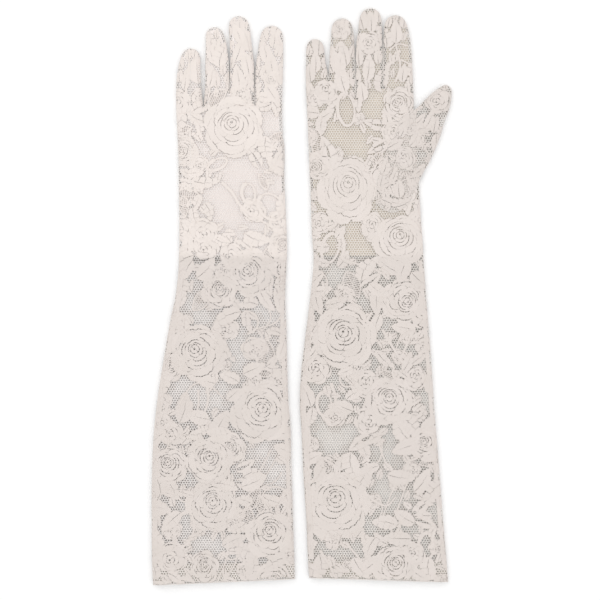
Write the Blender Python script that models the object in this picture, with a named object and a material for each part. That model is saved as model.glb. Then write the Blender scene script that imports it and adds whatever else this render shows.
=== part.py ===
"""A pair of opera-length lace gloves lying flat, side by side.

The left-hand glove lies with its back up and its thumb folded under the palm.
The right-hand glove lies with its palm up and its thumb out.
Fingers point along +Y and the mouths along -Y. Outline points below are in millimetres,
seen from above, and a glove's outline runs clockwise, so its inside is on the right.
"""
import math

import bpy
from mathutils import Vector

MM = 0.001

# thicknesses and heights, in millimetres
GLOVE_HEIGHT = 6.6      # underside of the lower lace to the top of the upper lace
LACE = 0.8              # one lace panel
SEAM_WIDTH = 1.2        # side seams and fourchettes, seen from above
GAP = 0.3               # clearance between neighbouring pieces
CARD = 0.6              # thickness of the card hand
CARD_INSET = 2.6        # from the glove's outline to the card
CARD_LEVEL = {"left": 4.2, "right": 3.0}
PALM_LIFT = 3.0         # underside of the left palm, which lies on the folded thumb
THUMB_HEIGHT = 2.7      # the folded thumb, flattened
THUMB_LACE = 0.5
THUMB_END_SLANT = 1.6   # how far the thumb's inner outline moves along its base, per inset
HEM_DEPTH = 18.0        # turned hem at the mouth
HEM_ROUND = 2.4         # corner radius of the hem's section
WRIST_Y = 34.0          # the line where the hand folds against the sleeve
SMOOTH_STEPS = 3        # straight pieces between two outline points
TIP_STEPS = 8           # straight pieces round a finger tip

LACE_WHITE = (0.84, 0.78, 0.74)
SEAM_WHITE = (0.87, 0.82, 0.78)
CARD_COLOUR = {"left": (0.82, 0.74, 0.70), "right": (0.70, 0.63, 0.55)}

# per glove: the sleeve's and the hand's long edges from mouth to fingers, the mouth's corners,
# the fingers from left to right as (name, base left, base right, fold line, tip x, tip y, tip radius),
# and the height of a crotch that reaches below both fold lines, by the finger on its left
GLOVES = {
    "left": {
        "upper": "back",
        "lower": "palm",
        "edge_names": ("outer", "inner"),
        "mouth": ((-133.5, -259.9), (-6.5, -254.0)),
        "sleeve_left": [(-134.4, -242), (-135, -165), (-133, -113), (-124, -58), (-113.5, -4), (-110.5, 34)],
        "sleeve_right": [(-7.4, -236), (-10, -165), (-12.5, -94), (-14, -40), (-15, 0), (-14, 34)],
        "hand_left": [(-110.5, 34), (-110, 60), (-111, 132), (-112.8, 170.5)],
        "hand_right": [(-14, 34), (-13.5, 45), (-15.5, 87), (-17, 131), (-18.6, 171.5)],
        "fingers": [
            ("little", -112.8, -90.2, 170.5, -101.0, 225.0, 9.0),
            ("ring", -89.4, -65.2, 181.5, -79.5, 243.5, 9.6),
            ("middle", -64.6, -43.0, 181.5, -59.0, 253.5, 9.6),
            ("index", -42.2, -18.6, 171.5, -28.5, 244.0, 10.6),
        ],
        "notches": {},
    },
    "right": {
        "upper": "palm",
        "lower": "back",
        "edge_names": ("outer", "inner"),
        "mouth": ((6.0, -253.4), (130.6, -256.4)),
        "sleeve_left": [(5.6, -236), (3.8, -200), (0, -125), (-1.6, -94), (4.5, -25), (10.8, 34)],
        "sleeve_right": [(130.2, -238), (125, -184), (119, -103), (115, -49), (111.5, -4), (108.9, 34)],
        "hand_left": [(10.8, 34), (8.2, 86), (6.3, 127), (4.6, 172), (3.6, 194.5)],
        "hand_right": [(108.9, 34), (106.4, 73), (104.4, 104.5), (100.6, 167.5), (99.4, 185.5)],
        "fingers": [
            ("little", 3.6, 22.4, 194.5, 11.6, 232.2, 8.0),
            ("ring", 24.0, 46.8, 194.5, 35.6, 250.6, 9.8),
            ("middle", 49.6, 71.6, 185.5, 61.8, 260.0, 9.6),
            ("index", 73.4, 99.4, 185.5, 83.6, 253.8, 10.4),
        ],
        "notches": {"ring": 176.5},
    },
}

# the free part of the right thumb, from the web round the tip to the lower end of its base
RIGHT_THUMB = [
    (101.6, 167.5), (106.6, 173), (111.6, 180), (120.5, 187.4), (129.4, 191.6),
    (134.2, 188.6), (135, 180), (132, 169), (127, 155), (123.4, 141), (115.2, 122.5), (105.4, 104.5),
]
RIGHT_THUMB_AXIS = ((105.1, 104.5), (101.3, 167.5))

# the left thumb, folded to lie under the palm: from the lower end of its base round the tip to the web
LEFT_THUMB = [
    (-16.8, 84), (-28, 96.5), (-38, 110), (-47, 126), (-57, 143), (-63, 152.5),
    (-64, 160), (-59.5, 165.2), (-52, 164.4), (-43, 157.5), (-33, 152.5), (-19.4, 147.5),
]
LEFT_THUMB_AXIS = ((-16.8, 84.0), (-19.4, 147.5))


def clear_scene():
    for old in list(bpy.data.objects):
        bpy.data.objects.remove(old, do_unlink=True)


def make_material(name, colour, roughness):
    material = bpy.data.materials.new(name)
    material.use_nodes = True
    shader = material.node_tree.nodes["Principled BSDF"]
    shader.inputs["Base Color"].default_value = (*colour, 1.0)
    shader.inputs["Roughness"].default_value = roughness
    shader.inputs["Metallic"].default_value = 0.0
    material.diffuse_color = (*colour, 1.0)
    return material


def add_pivot(name, position, collection):
    """An empty on a moving body's joint axis, in millimetres."""
    pivot = bpy.data.objects.new(name, None)
    pivot.location = Vector(position) * MM
    collection.objects.link(pivot)
    return pivot


def smooth(points, steps=SMOOTH_STEPS):
    """A Catmull-Rom curve through the points."""
    ring = [points[0], *points, points[-1]]
    curve = []
    for a, b, c, d in zip(ring, ring[1:], ring[2:], ring[3:]):
        for k in range(steps):
            t = k / steps
            curve.append(tuple(
                q + 0.5 * t * ((r - p) + t * ((2 * p - 5 * q + 4 * r - s) + t * (3 * q - p - 3 * r + s)))
                for p, q, r, s in zip(a, b, c, d)
            ))
    curve.append(tuple(points[-1]))
    return curve


def inset(path, distance):
    """The path moved to its right by the distance, with mitred corners. Its ends stay square."""
    moved = []
    for i, point in enumerate(path):
        before = Vector(path[max(i - 1, 0)])
        after = Vector(path[min(i + 1, len(path) - 1)])
        here = Vector(point)
        first = (here - before).normalized() if i else (after - here).normalized()
        second = (after - here).normalized() if i < len(path) - 1 else first
        normal = Vector((first.y, -first.x)) + Vector((second.y, -second.x))
        normal.normalize()
        stretch = max(0.5, normal.dot(Vector((first.y, -first.x))))
        moved.append(tuple(here + normal * distance / stretch))
    return moved


def finger_path(base_left, base_right, base_y, tip_x, tip_y, radius):
    """Up the left side, round the tip and down the right side."""
    centre_y = tip_y - radius
    turns = [math.pi * k / TIP_STEPS for k in range(TIP_STEPS + 1)]
    tip = [(tip_x - radius * math.cos(a), centre_y + radius * math.sin(a)) for a in turns]
    return [(base_left, base_y), *tip, (base_right, base_y)]


def flat_piece(name, outline, low, high, pivot, material, collection):
    """A flat outline with a thickness, from height low to height high."""
    curve = bpy.data.curves.new(name, "CURVE")
    curve.dimensions = "2D"
    curve.fill_mode = "BOTH"
    curve.extrude = (high - low) / 2 * MM
    spline = curve.splines.new("POLY")
    spline.points.add(len(outline) - 1)
    origin = pivot.location / MM
    for point, (x, y) in zip(spline.points, outline):
        point.co = ((x - origin.x) * MM, (y - origin.y) * MM, 0, 1)
    spline.use_cyclic_u = True
    piece = bpy.data.objects.new(name, curve)
    piece.location.z = ((low + high) / 2 - origin.z) * MM
    piece.parent = pivot
    piece.data.materials.append(material)
    collection.objects.link(piece)
    return piece


def edge_strip(path):
    """A narrow outline along the inner side of a path."""
    return [*path, *reversed(inset(path, SEAM_WIDTH))]


def between(left_path, right_path):
    """The outline between a left edge and a right edge that both run upwards."""
    return [*left_path, *reversed(right_path)]


def cut_ends(path, low_y, high_y):
    """The path with its end points set to the given heights."""
    moved = [list(point) for point in path]
    moved[0][1] = low_y
    moved[-1][1] = high_y
    return [tuple(point) for point in moved]


def inner_edges(left_path, right_path, distance):
    """Both edges moved into the glove, ending at the same heights as before."""
    left_moved = inset(left_path, distance)
    right_moved = inset(list(reversed(right_path)), distance)[::-1]
    return (
        cut_ends(left_moved, left_path[0][1], left_path[-1][1]),
        cut_ends(right_moved, right_path[0][1], right_path[-1][1]),
    )


def rounded_section(width, height, radius, corner_steps=3):
    """A rectangle with round corners, centred on the origin."""
    outline = []
    for quarter, (sx, sy) in enumerate(((1, 1), (-1, 1), (-1, -1), (1, -1))):
        centre = (sx * (width / 2 - radius), sy * (height / 2 - radius))
        for k in range(corner_steps + 1):
            angle = math.radians(90 * quarter + 90 * k / corner_steps)
            outline.append((centre[0] + radius * math.cos(angle), centre[1] + radius * math.sin(angle)))
    return outline


def build_hem(side, glove, pivot, material, collection):
    """A flat tube round the mouth, open at both ends, square to the line of the mouth."""
    first, second = (Vector(corner) for corner in glove["mouth"])
    along = second - first
    upwards = Vector((-along.y, along.x)).normalized()
    centre = (first + second) / 2 + upwards * HEM_DEPTH / 2
    curve = bpy.data.curves.new(f"{side}_hem_band", "CURVE")
    curve.dimensions = "2D"
    curve.fill_mode = "BOTH"
    curve.extrude = HEM_DEPTH / 2 * MM
    sections = (
        rounded_section(along.length, GLOVE_HEIGHT, HEM_ROUND),
        rounded_section(along.length - 2 * SEAM_WIDTH, GLOVE_HEIGHT - 2 * LACE, HEM_ROUND - LACE),
    )
    for section in sections:
        spline = curve.splines.new("POLY")
        spline.points.add(len(section) - 1)
        for point, (x, z) in zip(spline.points, section):
            point.co = (x * MM, z * MM, 0, 1)
        spline.use_cyclic_u = True
    hem = bpy.data.objects.new(curve.name, curve)
    hem.rotation_euler = (math.radians(90), 0, math.atan2(along.y, along.x))
    hem.location = (Vector((centre.x, centre.y, GLOVE_HEIGHT / 2)) * MM) - pivot.location
    hem.parent = pivot
    hem.data.materials.append(material)
    collection.objects.link(hem)


def mouth_height(glove, x):
    """Height of the hem's upper edge at x, with the gap that the panels keep to it."""
    (x0, y0), (x1, y1) = glove["mouth"]
    slope = (y1 - y0) / (x1 - x0)
    return y0 + slope * (x - x0) + (HEM_DEPTH + GAP) * math.hypot(1, slope)


def build_sleeve(side, glove, pivot, paint, collection):
    left = smooth(glove["sleeve_left"])
    right = smooth(glove["sleeve_right"])
    top = WRIST_Y - GAP / 2
    left = cut_ends(left, mouth_height(glove, left[0][0]) + GAP, top)
    right = cut_ends(right, mouth_height(glove, right[0][0]) + GAP, top)
    edges = {"left": left, "right": list(reversed(right))}
    for edge, seam_name in zip(("left", "right"), glove["edge_names"]):
        flat_piece(f"{side}_sleeve_{seam_name}_seam", edge_strip(edges[edge]), 0, GLOVE_HEIGHT, pivot,
                   paint["seam"], collection)
    panel = between(*inner_edges(left, right, SEAM_WIDTH + GAP))
    levels = {glove["lower"]: 0, glove["upper"]: GLOVE_HEIGHT - LACE}
    for layer, low in levels.items():
        flat_piece(f"{side}_sleeve_{layer}", panel, low, low + LACE, pivot, paint["lace"], collection)


def hand_top(glove, distance):
    """The hand's upper end from left to right: a straight fold line under each finger, with upright steps."""
    line = []
    for name, base_left, base_right, fold_y, *_ in glove["fingers"]:
        left_end = (base_left + distance, fold_y - GAP / 2)
        right_end = (base_right - distance, fold_y - GAP / 2)
        if line and line[-1][1] > left_end[1]:
            line.append((line[-1][0], left_end[1]))
        elif line and line[-1][1] < left_end[1]:
            line.append((left_end[0], line[-1][1]))
        line += [left_end, right_end]
        if name in glove["notches"]:
            line += [(right_end[0], glove["notches"][name])]
    return line


def build_hand(side, glove, pivot, paint, collection):
    base = WRIST_Y + GAP / 2
    first, last = glove["fingers"][0], glove["fingers"][-1]
    left = cut_ends(smooth(glove["hand_left"]), base, first[3] - GAP / 2)
    right = cut_ends(smooth(glove["hand_right"]), base, last[3] - GAP / 2)
    lift = PALM_LIFT if side == "left" else 0
    edges = {"left": left, "right": list(reversed(right))}
    for edge, seam_name in zip(("left", "right"), glove["edge_names"]):
        flat_piece(f"{side}_hand_{seam_name}_seam", edge_strip(edges[edge]), lift, GLOVE_HEIGHT, pivot,
                   paint["seam"], collection)
    panel_left, panel_right = inner_edges(left, right, SEAM_WIDTH + GAP)
    fold_line = [panel_left[-1], *hand_top(glove, 0)[1:-1], panel_right[-1]]
    panel = [*panel_left[:-1], *fold_line, *reversed(panel_right[:-1])]
    levels = {glove["lower"]: lift, glove["upper"]: GLOVE_HEIGHT - LACE}
    for layer, low in levels.items():
        flat_piece(f"{side}_hand_{layer}", panel, low, low + LACE, pivot, paint["lace"], collection)
    card_left, card_right = inner_edges(left, right, CARD_INSET)
    card_line = [card_left[-1], *hand_top(glove, CARD_INSET)[1:-1], card_right[-1]]
    card = [*card_left[:-1], *card_line, *reversed(card_right[:-1])]
    low = CARD_LEVEL[side]
    flat_piece(f"{side}_card_hand", card, low, low + CARD, pivot, paint["card"], collection)


def build_finger(side, glove, finger, pivot, paint, collection):
    name, base_left, base_right, fold_y, tip_x, tip_y, radius = finger
    path = finger_path(base_left, base_right, fold_y + GAP / 2, tip_x, tip_y, radius)

    def cut(distance):
        """The finger's outline moved in, still ending on the fold line."""
        return cut_ends(inset(path, distance), fold_y + GAP / 2, fold_y + GAP / 2)

    strip = [*path, *reversed(cut(SEAM_WIDTH))]
    flat_piece(f"{side}_{name}_fourchette", strip, 0, GLOVE_HEIGHT, pivot, paint["seam"], collection)
    panel = cut(SEAM_WIDTH + GAP)
    levels = {glove["lower"]: 0, glove["upper"]: GLOVE_HEIGHT - LACE}
    for layer, low in levels.items():
        flat_piece(f"{side}_{name}_{layer}", panel, low, low + LACE, pivot, paint["lace"], collection)
    low = CARD_LEVEL[side]
    flat_piece(f"{side}_{name}_card", cut(CARD_INSET), low, low + CARD, pivot, paint["card"], collection)


def thumb_inset(path, distance):
    """The thumb's outline moved in, with both ends still on the base line."""
    moved = inset(path, distance)
    start, end = Vector(path[0]), Vector(path[-1])
    step = (end - start).normalized() * distance * THUMB_END_SLANT
    return [tuple(start + step), *moved[1:-1], tuple(end - step)]


def build_thumb(side, glove, outline, height, lace, pivot, paint, collection):
    """Two lace panels with a seam strip round the free edge, open along the base."""
    path = smooth(outline, 2)
    strip = [*path, *reversed(thumb_inset(path, SEAM_WIDTH))]
    flat_piece(f"{side}_thumb_seam", strip, 0, height, pivot, paint["seam"], collection)
    panel = thumb_inset(path, SEAM_WIDTH + GAP)
    levels = {glove["lower"]: 0, glove["upper"]: height - lace}
    for layer, low in levels.items():
        flat_piece(f"{side}_thumb_{layer}", panel, low, low + lace, pivot, paint["lace"], collection)


def build_glove(side, collection):
    glove = GLOVES[side]
    paint = {
        "lace": make_material(f"{side}_lace", LACE_WHITE, 0.8),
        "seam": make_material(f"{side}_seam_lace", SEAM_WHITE, 0.8),
        "card": make_material(f"{side}_card", CARD_COLOUR[side], 0.9),
    }
    hinge_z = GLOVE_HEIGHT + GAP / 2
    sleeve_pivot = add_pivot(f"{side}_sleeve_body", (0, 0, 0), collection)
    build_hem(side, glove, sleeve_pivot, paint["seam"], collection)
    build_sleeve(side, glove, sleeve_pivot, paint, collection)
    middle_x = (glove["hand_left"][0][0] + glove["hand_right"][0][0]) / 2
    hand_pivot = add_pivot(f"{side}_wrist_hinge", (middle_x, WRIST_Y, hinge_z), collection)
    build_hand(side, glove, hand_pivot, paint, collection)
    for finger in glove["fingers"]:
        finger_x = (finger[1] + finger[2]) / 2
        finger_pivot = add_pivot(f"{side}_{finger[0]}_hinge", (finger_x, finger[3], hinge_z), collection)
        build_finger(side, glove, finger, finger_pivot, paint, collection)
    if side == "left":
        outline, axis, axis_z = LEFT_THUMB, LEFT_THUMB_AXIS, PALM_LIFT - GAP / 2
        height, lace = THUMB_HEIGHT, THUMB_LACE
    else:
        outline, axis, axis_z = RIGHT_THUMB, RIGHT_THUMB_AXIS, hinge_z
        height, lace = GLOVE_HEIGHT, LACE
    thumb_pivot = add_pivot(f"{side}_thumb_hinge", (*axis[0], axis_z), collection)
    build_thumb(side, glove, outline, height, lace, thumb_pivot, paint, collection)


def main():
    clear_scene()
    collection = bpy.data.collections.new("lace_wedding_gloves")
    bpy.context.scene.collection.children.link(collection)
    for side in GLOVES:
        build_glove(side, collection)
    bpy.context.view_layer.update()


main()
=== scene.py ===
import math

import bpy
import numpy as np
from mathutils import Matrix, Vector, kdtree
from mathutils.geometry import delaunay_2d_cdt


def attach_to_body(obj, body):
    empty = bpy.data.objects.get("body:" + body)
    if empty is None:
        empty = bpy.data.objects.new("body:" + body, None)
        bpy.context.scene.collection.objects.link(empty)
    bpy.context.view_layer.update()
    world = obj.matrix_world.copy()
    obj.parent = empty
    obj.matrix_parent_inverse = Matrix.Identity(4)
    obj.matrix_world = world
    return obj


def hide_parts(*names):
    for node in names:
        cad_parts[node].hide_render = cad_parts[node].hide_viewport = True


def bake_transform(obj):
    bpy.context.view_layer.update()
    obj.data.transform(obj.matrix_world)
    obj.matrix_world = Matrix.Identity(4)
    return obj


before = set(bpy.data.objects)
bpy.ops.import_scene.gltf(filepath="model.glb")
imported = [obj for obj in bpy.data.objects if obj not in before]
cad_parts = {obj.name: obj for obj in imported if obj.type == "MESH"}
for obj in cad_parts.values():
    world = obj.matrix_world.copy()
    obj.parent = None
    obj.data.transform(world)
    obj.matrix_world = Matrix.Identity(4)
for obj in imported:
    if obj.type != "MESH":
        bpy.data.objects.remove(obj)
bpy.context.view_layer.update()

mm = 0.001          # every size below is in millimetres, and becomes metres as a mesh is made


def linear(code):
    channels = [int(code[k:k + 2], 16) / 255 for k in (1, 3, 5)]
    return tuple(c / 12.92 if c <= 0.04045 else ((c + 0.055) / 1.055) ** 2.4 for c in channels) + (1.0,)


def addNode(tree, kind, settings=None, links=None):
    node = tree.nodes.new(kind)
    for name, value in (settings or {}).items():
        if isinstance(name, int) or name in node.inputs:
            node.inputs[name].default_value = value
        else:
            setattr(node, name, value)
    for name, source in (links or {}).items():
        tree.links.new(source, node.inputs[name])
    return node


def newMaterial(name, colour, roughness, sheen=0.0):
    material = bpy.data.materials.new(name)
    material.use_nodes = True
    shader = material.node_tree.nodes["Principled BSDF"]
    shader.inputs["Base Color"].default_value = linear(colour)
    shader.inputs["Roughness"].default_value = roughness
    shader.inputs["Sheen Weight"].default_value = sheen
    return material, material.node_tree, shader


def evenly(curve, spacing):
    steps = np.linalg.norm(np.diff(curve, axis=0), axis=1)
    along = np.concatenate([[0], np.cumsum(steps)])
    count = max(2, int(round(along[-1] / spacing)) + 1)
    at = np.linspace(0, along[-1], count)
    return np.column_stack([np.interp(at, along, curve[:, k]) for k in range(curve.shape[1])])


def smoothPath(points, spacing):
    # centripetal Catmull-Rom curve, which makes no loops at the crotches
    points = np.array(points, float)
    ring = np.vstack([2 * points[0] - points[1], points, 2 * points[-1] - points[-2]])
    curve = []
    for p0, p1, p2, p3 in zip(ring, ring[1:], ring[2:], ring[3:]):
        t1 = np.linalg.norm(p1 - p0) ** 0.5
        t2 = t1 + np.linalg.norm(p2 - p1) ** 0.5
        t3 = t2 + np.linalg.norm(p3 - p2) ** 0.5
        t = np.linspace(t1, t2, 12, endpoint=False)[:, None]
        a1 = (t1 - t) / t1 * p0 + t / t1 * p1
        a2 = (t2 - t) / (t2 - t1) * p1 + (t - t1) / (t2 - t1) * p2
        a3 = (t3 - t) / (t3 - t2) * p2 + (t - t2) / (t3 - t2) * p3
        b1 = (t2 - t) / t2 * a1 + t / t2 * a2
        b2 = (t3 - t) / (t3 - t1) * a2 + (t - t1) / (t3 - t1) * a3
        curve.append((t2 - t) / (t2 - t1) * b1 + (t - t1) / (t2 - t1) * b2)
    return evenly(np.vstack(curve + [points[-1:]]), spacing)


def insidePolygon(points, polygon):
    inside = np.zeros(len(points), bool)
    x, y = points[:, 0], points[:, 1]
    for (x0, y0), (x1, y1) in zip(polygon, np.roll(polygon, -1, axis=0)):
        if y0 != y1:
            crosses = (y0 > y) != (y1 > y)
            inside ^= crosses & (x < (x1 - x0) * (y - y0) / (y1 - y0) + x0)
    return inside


def nearest(tree, points):
    found = [tree.find((x, y, 0)) for x, y in points]
    return np.array([f[2] for f in found]), np.array([f[0][:2] for f in found])


def pointTree(points):
    tree = kdtree.KDTree(len(points))
    for k, (x, y) in enumerate(points):
        tree.insert((x, y, 0), k)
    tree.balance()
    return tree


def bulge(distance, reach):
    # the round shoulder of a soft tube pressed flat: upright at its edge, level past the reach
    t = np.clip(distance / reach, 0, 1)
    return np.sqrt(1 - (1 - t) ** 2)


def smoothStep(value):
    t = np.clip(value, 0, 1)
    return t * t * (3 - 2 * t)


gloveSizes = {
    "edgeHeight": 2.9,        # height of the side seams above the table
    "lowest": 0.35,           # the lower lace, above the table
    "sleeveCrown": 5.7,
    "handCrown": 4.7,
    "fingerCrown": 4.9,
    "sleeveReach": 13.0,      # from the side seam to where the lace lies level
    "fingerReach": 8.0,
    "wristZone": (32.0, 45.0),    # the sleeve ends and the hand begins at the first of these heights
    "fingerZone": (-1.5, 8.0),    # each finger begins at the first of these distances from its fold line
    "wrinkle": 0.45,
}

leftGlove = {
    "side": "left",
    "layers": ("back", "palm"),       # upper, lower
    "mouthCorners": ((-133.5, -259.4), (-6.5, -253.8)),
    "outline": [                      # up the left edge and down the right; three numbers are a round tip
        (-133.5, -259.4), (-134.4, -242), (-134.8, -205), (-134.6, -165), (-133, -125), (-129.6, -93),
        (-124.2, -58), (-117.8, -21), (-113.4, 0), (-111, 20), (-110.3, 34), (-109.9, 60), (-110.4, 95),
        (-111, 132), (-112.6, 165), (-112.8, 188), (-111.2, 204), (-99.9, 222.1, 8.1), (-91.5, 204),
        (-90.7, 187), (-88.5, 169.8), (-87.0, 184), (-86.5, 206), (-86.2, 225), (-78.4, 241.2, 7.8),
        (-67.8, 224), (-66.0, 208), (-65.6, 195), (-65.1, 181.2), (-64.6, 195), (-64.2, 208), (-64.7, 228),
        (-56.8, 251.1, 8.8), (-45.4, 226), (-43.4, 206), (-42.9, 188), (-42.4, 171), (-41.9, 188),
        (-41.3, 206),
        (-39.0, 222), (-27.1, 242.5, 9.6), (-17.2, 222), (-17.4, 200), (-18.2, 167), (-17, 131), (-15.4, 87),
        (-13.7, 45), (-14.1, 30), (-15.3, 0), (-14.4, -22),
        (-13.5, -62), (-12.5, -94), (-10.7, -115), (-9.8, -150), (-8.2, -202), (-6.5, -253.8),
    ],
    "fingers": ("little", "ring", "middle", "index"),
    "foldLines": (170.5, 181.5, 181.5, 171.5),
    "slits": (                        # (height, x) up the gap between two fingers
        ((169.4, -88.5), (187, -88.8), (208, -89.0), (240, -89.0)),
        ((181, -65.1), (195, -65.15), (208, -65.4), (224, -66.6), (245, -68)),
        ((171, -42.4), (206, -42.4), (224, -42.6), (250, -42.6)),
    ),
    "cardLevel": 4.1,
    # painted light: how much brighter the lace's colour is painted where the card lies behind it
    "overCard": 1.14,
    "crownLift": 1.2,                 # the hand lies on its folded thumb
}

rightGlove = {
    "side": "right",
    "layers": ("palm", "back"),
    "mouthCorners": ((6.6, -252.9), (131, -256.6)),
    "outline": [
        (6.6, -252.9), (5.6, -238), (4.2, -202), (1.4, -160), (0, -125), (-1.8, -96), (-0.6, -70),
        (2.8, -40),
        (6.4, -12), (9.8, 18), (10.7, 34), (9.2, 55), (8.1, 87), (6.5, 125), (5.2, 159), (3.8, 188),
        (3.8, 208),
        (11.8, 230.5, 7.4), (20.8, 210), (22.8, 200), (23.6, 194.6), (24.5, 202), (25.2, 218), (26.2, 232),
        (36.1, 249.1, 9.0), (46.6, 228), (47.3, 205), (47.9, 176.4), (48.4, 205), (48.7, 222), (50.6, 238),
        (61.5, 258.2, 9.2), (71.5, 237), (72.5, 212), (72.8, 185.4), (73.3, 212), (73.5, 233),
        (84.0, 251.9, 9.6),
        (97.2, 229), (99, 204), (99.9, 181), (100.4, 167), (102.6, 140),
        (104.6, 104), (106.3, 73), (108, 50), (109, 32), (111.6, -4), (115.2, -49), (118.8, -103),
        (122.4, -148), (125.2, -184), (127.4, -212), (129.6, -238), (131, -256.6),
    ],
    "fingers": ("little", "ring", "middle", "index"),
    "foldLines": (194.5, 194.5, 185.5, 185.5),
    "slits": (
        ((194, 23.6), (202, 23.6), (218, 22.8), (240, 22.5)),
        ((176, 47.9), (205, 47.85), (222, 48.0), (238, 49), (255, 49.4)),
        ((185, 72.8), (212, 72.9), (233, 72.9), (258, 73)),
    ),
    "cardLevel": 2.9,
    # painted light: how much brighter the lace's colour is painted where the card lies behind it
    "overCard": 1.05,
    "crownLift": 0.0,
}

rightThumb = {
    # the free thumb, then the gusset that is sewn onto the palm
    "outline": [
        (99.2, 165.4), (106, 171), (112, 177.4), (120.8, 185.0), (129, 189.4), (133.6, 186.6),
        (134.1, 178.6),
        (132, 168), (127.4, 155), (123.2, 141), (115.2, 122.5), (109.4, 112), (104.6, 102), (100, 91),
        (95, 82),
        (85, 75.8), (75, 76.6), (67, 84), (66.8, 95), (67.6, 105), (71.5, 117), (75.6, 128), (79.8, 138.4),
        (86, 149.6), (88.6, 160),
    ],
    "axis": ((105.1, 104.5), (101.3, 167.5)),
    "crown": 5.8,
    "reach": 9.0,
    "zone": (0.0, 9.0),          # distances from the thumb's axis
}

leftThumb = {
    "outline": [
        (-16.9, 84.5), (-28, 96.5), (-38, 110), (-47, 126), (-56.5, 143), (-62.5, 152.5), (-63.4, 160),
        (-59, 164.6), (-52, 163.8), (-43, 157.3), (-33, 152.3), (-19.3, 147),
    ],
    "axis": ((-19.4, 147.5), (-16.8, 84.0)),
    "zone": (1.5, 8.0),
    "top": 2.6,
    "bottom": 0.3,
    "reach": 6.0,
}


def withTips(outline):
    points = []
    for point in outline:
        if len(point) == 2:
            points.append(point)
            continue
        x, y, radius = point
        for angle in (160, 125, 90, 55, 20):
            a = math.radians(angle)
            points.append((x + radius * math.cos(a), y - radius + radius * math.sin(a)))
    return points


class Glove:
    def __init__(self, sizes):
        self.sizes = sizes
        self.side = sizes["side"]
        self.outline = smoothPath(withTips(sizes["outline"]), 1.4)
        self.edgePoints = evenly(self.outline, 0.35)
        self.edgeTree = pointTree(self.edgePoints)
        self.thumbTree = None
        if self.side == "left":
            self.thumbLoop = smoothPath(leftThumb["outline"], 1.0)
            self.thumbTree = pointTree(self.thumbLoop)

    def column(self, points):
        # which finger a point stands under or on, from 0 at the left
        column = np.zeros(len(points), int)
        for slit in self.sizes["slits"]:
            heights, places = zip(*slit)
            column += points[:, 0] > np.interp(points[:, 1], heights, places)
        return column

    def bridges(self, points, faces):
        # faces that would join two fingers across the gap between them
        column = self.column(points)[faces]
        middle = points[faces].mean(1)[:, 1]
        across = np.zeros(len(faces), bool)
        for k, slit in enumerate(self.sizes["slits"]):
            across |= (column.min(1) <= k) & (column.max(1) > k) & (middle > slit[0][0] - 0.5)
        return across

    def region(self, points):
        # -1 is the sleeve, 0 the hand, and 1 to 4 the fingers from left to right
        y = points[:, 1]
        finger = self.column(points)
        start = np.array(self.sizes["foldLines"])[finger] + gloveSizes["fingerZone"][0]
        region = np.where(y > start, finger + 1, 0)
        return np.where(y < gloveSizes["wristZone"][0], -1, region)

    def partName(self, region):
        return ("sleeve", "hand", *self.sizes["fingers"])[region + 1]

    def tone(self, points):
        # painted light: the lace's colour is made brighter where the card lies behind it, standing in for
        # the light the card throws back through it
        return 1 + (self.sizes["overCard"] - 1) * smoothStep((points[:, 1] - 33) / 5)

    def crown(self, x, y):
        s = gloveSizes
        height = np.interp(y, (-260, -20, 25, 60, 160, 200),
                           (s["sleeveCrown"], s["sleeveCrown"], s["handCrown"] + 0.5, s["handCrown"],
                            s["handCrown"], s["fingerCrown"]))
        lift = self.sizes["crownLift"] * smoothStep((y - 15) / 50) * smoothStep((235 - y) / 60)
        return height + lift

    def folds(self, x, y):
        # shallow folds of the empty sleeve, fading out over the stiff card
        slack = gloveSizes["wrinkle"] * smoothStep((60 - y) / 50)
        long = np.sin(x / 11.0 + 1.3 * np.sin(y / 47.0)) * np.sin(y / 61.0 + 0.7)
        cross = np.sin(y / 9.0 + x / 23.0) * np.exp(-((y - 18) / 22) ** 2)
        dimple = np.sin(x / 17.0 - y / 29.0) * np.sin(y / 19.0 + 2.0)
        return slack * (0.8 * long + 0.9 * cross + 0.7 * dimple)

    def heights(self, points, upper):
        x, y = points[:, 0], points[:, 1]
        distance, _ = nearest(self.edgeTree, points)
        reaches = (gloveSizes["sleeveReach"], 9.0, 9.0, gloveSizes["fingerReach"])
        reach = np.interp(y, (40, 90, 165, 200), reaches)
        shoulder = bulge(distance, reach)
        edge = gloveSizes["edgeHeight"]
        if upper:
            return edge + (self.crown(x, y) - edge) * shoulder + self.folds(x, y) * shoulder
        low = np.full(len(points), gloveSizes["lowest"])
        if self.thumbTree:
            gap, _ = nearest(self.thumbTree, points)
            over = insidePolygon(points, self.thumbLoop)
            onThumb = np.where(over, 1.0, smoothStep(1 - gap / 9))
            low = low + (leftThumb["top"] + 0.35 - low) * onThumb
        return edge - (edge - low) * shoulder


def makeObject(name, vertices, faces, materials, smooth=True):
    mesh = bpy.data.meshes.new(name)
    mesh.from_pydata([tuple(v) for v in np.asarray(vertices) * mm], [], [tuple(f) for f in faces])
    for material in materials:
        mesh.materials.append(material)
    if smooth:
        mesh.shade_smooth()
    piece = bpy.data.objects.new(name, mesh)
    bpy.context.scene.collection.objects.link(piece)
    return piece


def setPattern(piece, coordinates):
    # the lace's own coordinates in millimetres, so that a pattern follows the cloth
    layer = piece.data.uv_layers.new(name="lace")
    index = np.zeros(len(piece.data.loops), np.int32)
    piece.data.loops.foreach_get("vertex_index", index)
    layer.data.foreach_set("uv", np.asarray(coordinates, np.float32)[index].ravel())


def weldMesh(vertices, faces, uv):
    # joins vertices at the same place; the faces and the pattern keep the first one
    keys, first, back = np.unique(np.round(vertices / 0.01).astype(np.int64), axis=0,
                                  return_index=True, return_inverse=True)
    back = back.reshape(-1)
    merged = [tuple(back[v] for v in face) for face in faces]
    merged = [face for face in merged if len(set(face)) == len(face)]
    return vertices[first], merged, uv[first]


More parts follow.
